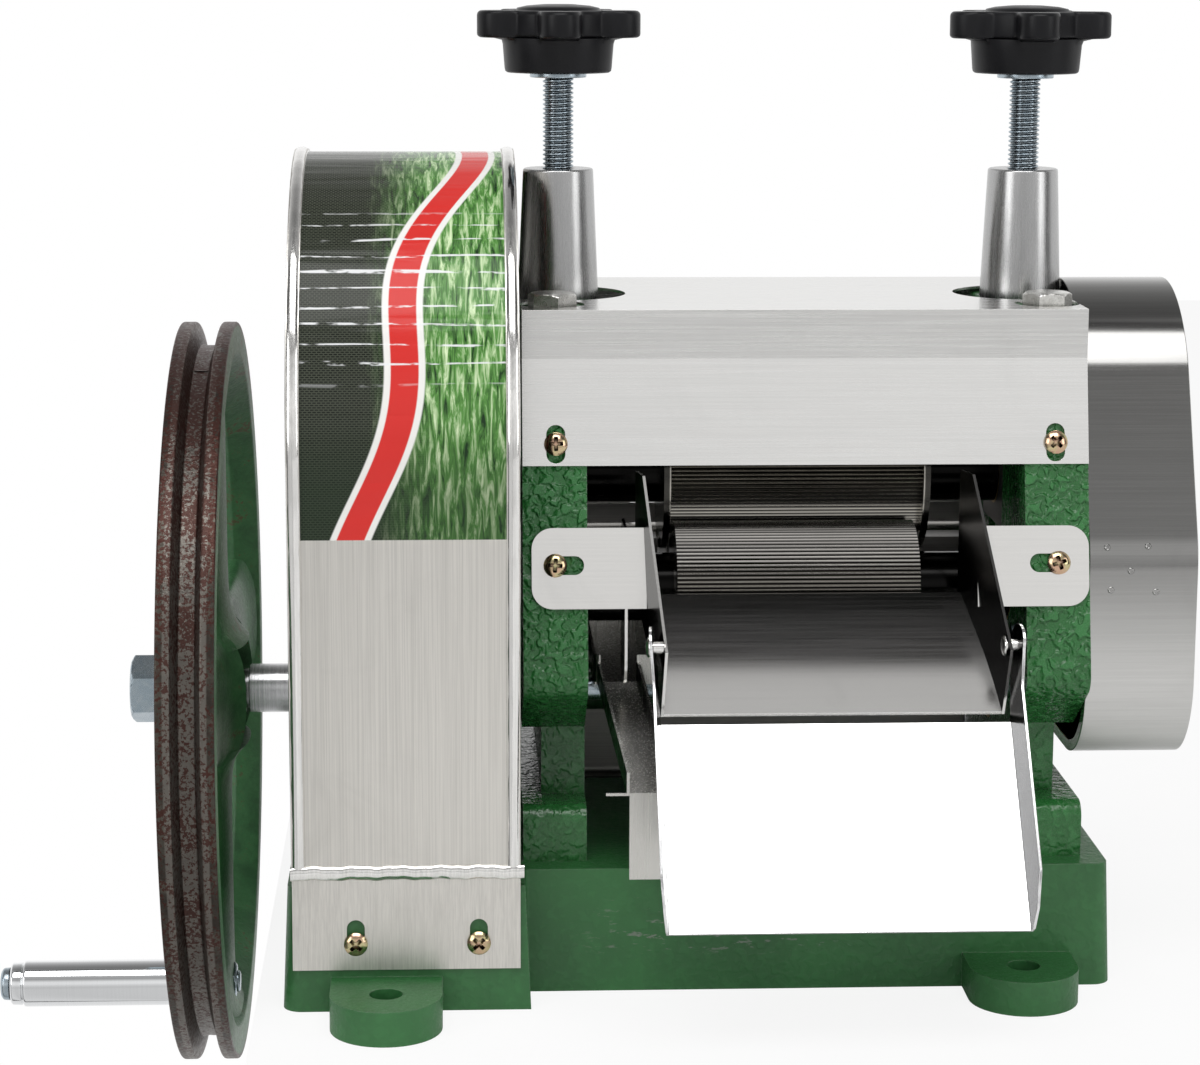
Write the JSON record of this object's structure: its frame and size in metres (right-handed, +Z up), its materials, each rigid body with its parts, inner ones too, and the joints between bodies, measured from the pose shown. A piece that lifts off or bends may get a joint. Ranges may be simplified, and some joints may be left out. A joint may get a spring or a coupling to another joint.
{
  "type": "manual sugarcane juicer",
  "caption": "Hand cranked roller mill for sugarcane with geared drive, flywheel crank, sheet covers, juice tray and folding chute.",
  "frame": {"origin": "on the underside of the base, midway between the two pressing screws, under the rollers' middle plane", "axes": "+X along the rollers away from the flywheel, +Y towards the side where cane is fed in, +Z up"},
  "size_m": [0.5288, 0.356, 0.4727],
  "materials": {
    "green_paint": "hammered green enamel on cast iron",
    "wheel_iron": "machined rim with green enamel on sides, arms and hub",
    "cover_steel": "brushed stainless sheet",
    "chute_steel": "polished stainless sheet",
    "turned_steel": "turned and polished steel",
    "roller_steel": "fluted steel, polished crests",
    "gear_steel": "machined",
    "zinc_steel": "zinc plated",
    "yellow_zinc": "yellow passivated zinc plating on steel",
    "rivet_steel": "stainless",
    "bush_bronze": "cast bronze",
    "chrome_handle": "chrome plated",
    "black_knob": "moulded black plastic"
  },
  "bodies": {
    "root": {"base_casting": "green_paint", "left_frame": "green_paint", "right_frame": "green_paint", "left_cap": "green_paint", "right_cap": "green_paint", "top_cover": "cover_steel", "left_gear_cover": "cover_steel", "right_gear_cover": "cover_steel", "chute": "chute_steel", "feed_guide": "chute_steel", "juice_tray": "chute_steel", "left_post": "turned_steel", "right_post": "turned_steel", "trash_plate": "turned_steel", "cap_bolts": "zinc_steel", "frame_bolts": "zinc_steel", "tray_rods": "zinc_steel", "right_cover_screws": "zinc_steel", "cover_screws": "yellow_zinc", "chute_screws": "yellow_zinc", "feed_guide_screws": "yellow_zinc", "gear_cover_screws": "yellow_zinc", "chute_rivets": "rivet_steel", "roller_bushes": "bush_bronze", "shaft_bushes": "bush_bronze"},
    "drive": {"input_shaft": "turned_steel", "flywheel": "wheel_iron", "wheel_key": "gear_steel", "wheel_nut": "zinc_steel", "pinion": "gear_steel", "handle_bolt": "chrome_handle", "shaft_collar": "turned_steel"},
    "handle": {"handle_sleeve": "chrome_handle"},
    "top_roller_set": {"top_roller": "roller_steel", "driven_gear": "gear_steel", "top_spur_gear": "gear_steel"},
    "front_roller_set": {"front_roller": "roller_steel", "front_spur_gear": "gear_steel"},
    "rear_roller_set": {"rear_roller": "roller_steel", "rear_spur_gear": "gear_steel"},
    "left_block_set": {"left_block": "gear_steel", "left_block_bush": "bush_bronze"},
    "right_block_set": {"right_block": "gear_steel", "right_block_bush": "bush_bronze"},
    "left_screw_set": {"left_screw": "zinc_steel", "left_knob": "black_knob"},
    "right_screw_set": {"right_screw": "zinc_steel", "right_knob": "black_knob"},
    "flap": {"chute_flap": "chute_steel"}
  },
  "joints": [
    {"name": "drive_spin", "type": "hinge", "parent": "root", "child": "drive", "pos_m": [0, 0, 0.11183], "axis": [1, 0, 0], "continuous": true},
    {"name": "handle_spin", "type": "hinge", "parent": "drive", "child": "handle", "pos_m": [-0.3145, 0, -0.02717], "axis": [1, 0, 0], "continuous": true},
    {"name": "top_roller_spin", "type": "hinge", "parent": "left_block_set", "child": "top_roller_set", "pos_m": [0, 0, 0.21183], "axis": [1, 0, 0], "continuous": true},
    {"name": "front_roller_spin", "type": "hinge", "parent": "root", "child": "front_roller_set", "pos_m": [0, -0.038, 0.1654], "axis": [1, 0, 0], "continuous": true},
    {"name": "rear_roller_spin", "type": "hinge", "parent": "root", "child": "rear_roller_set", "pos_m": [0, 0.038, 0.1654], "axis": [1, 0, 0], "continuous": true},
    {"name": "left_screw_turn", "type": "hinge", "parent": "left_block_set", "child": "left_screw_set", "pos_m": [-0.1037, 0, 0.347], "axis": [0, 0, 1], "range_deg": [0, 360]},
    {"name": "right_screw_turn", "type": "hinge", "parent": "right_block_set", "child": "right_screw_set", "pos_m": [0.1037, 0, 0.347], "axis": [0, 0, 1], "range_deg": [0, 360]},
    {"name": "left_block_slide", "type": "slide", "parent": "root", "child": "left_block_set", "axis": [0, 0, 1], "range_m": [0, 0.002]},
    {"name": "right_block_slide", "type": "slide", "parent": "root", "child": "right_block_set", "axis": [0, 0, 1], "range_m": [0, 0.002]},
    {"name": "flap_fold", "type": "hinge", "parent": "root", "child": "flap", "pos_m": [0, -0.12, 0.156], "axis": [-1, 0, 0], "range_deg": [0, 140]}
  ],
  "couplings": [
    {"joint": "top_roller_spin", "follows": "drive_spin", "ratio": -0.21212},
    {"joint": "front_roller_spin", "follows": "drive_spin", "ratio": 0.21212},
    {"joint": "rear_roller_spin", "follows": "drive_spin", "ratio": 0.21212},
    {"joint": "left_screw_turn", "follows": "left_block_slide", "rad_per_m": 3141.6},
    {"joint": "right_screw_turn", "follows": "left_block_slide", "rad_per_m": 3141.6},
    {"joint": "right_block_slide", "follows": "left_block_slide", "ratio": 1}
  ]
}
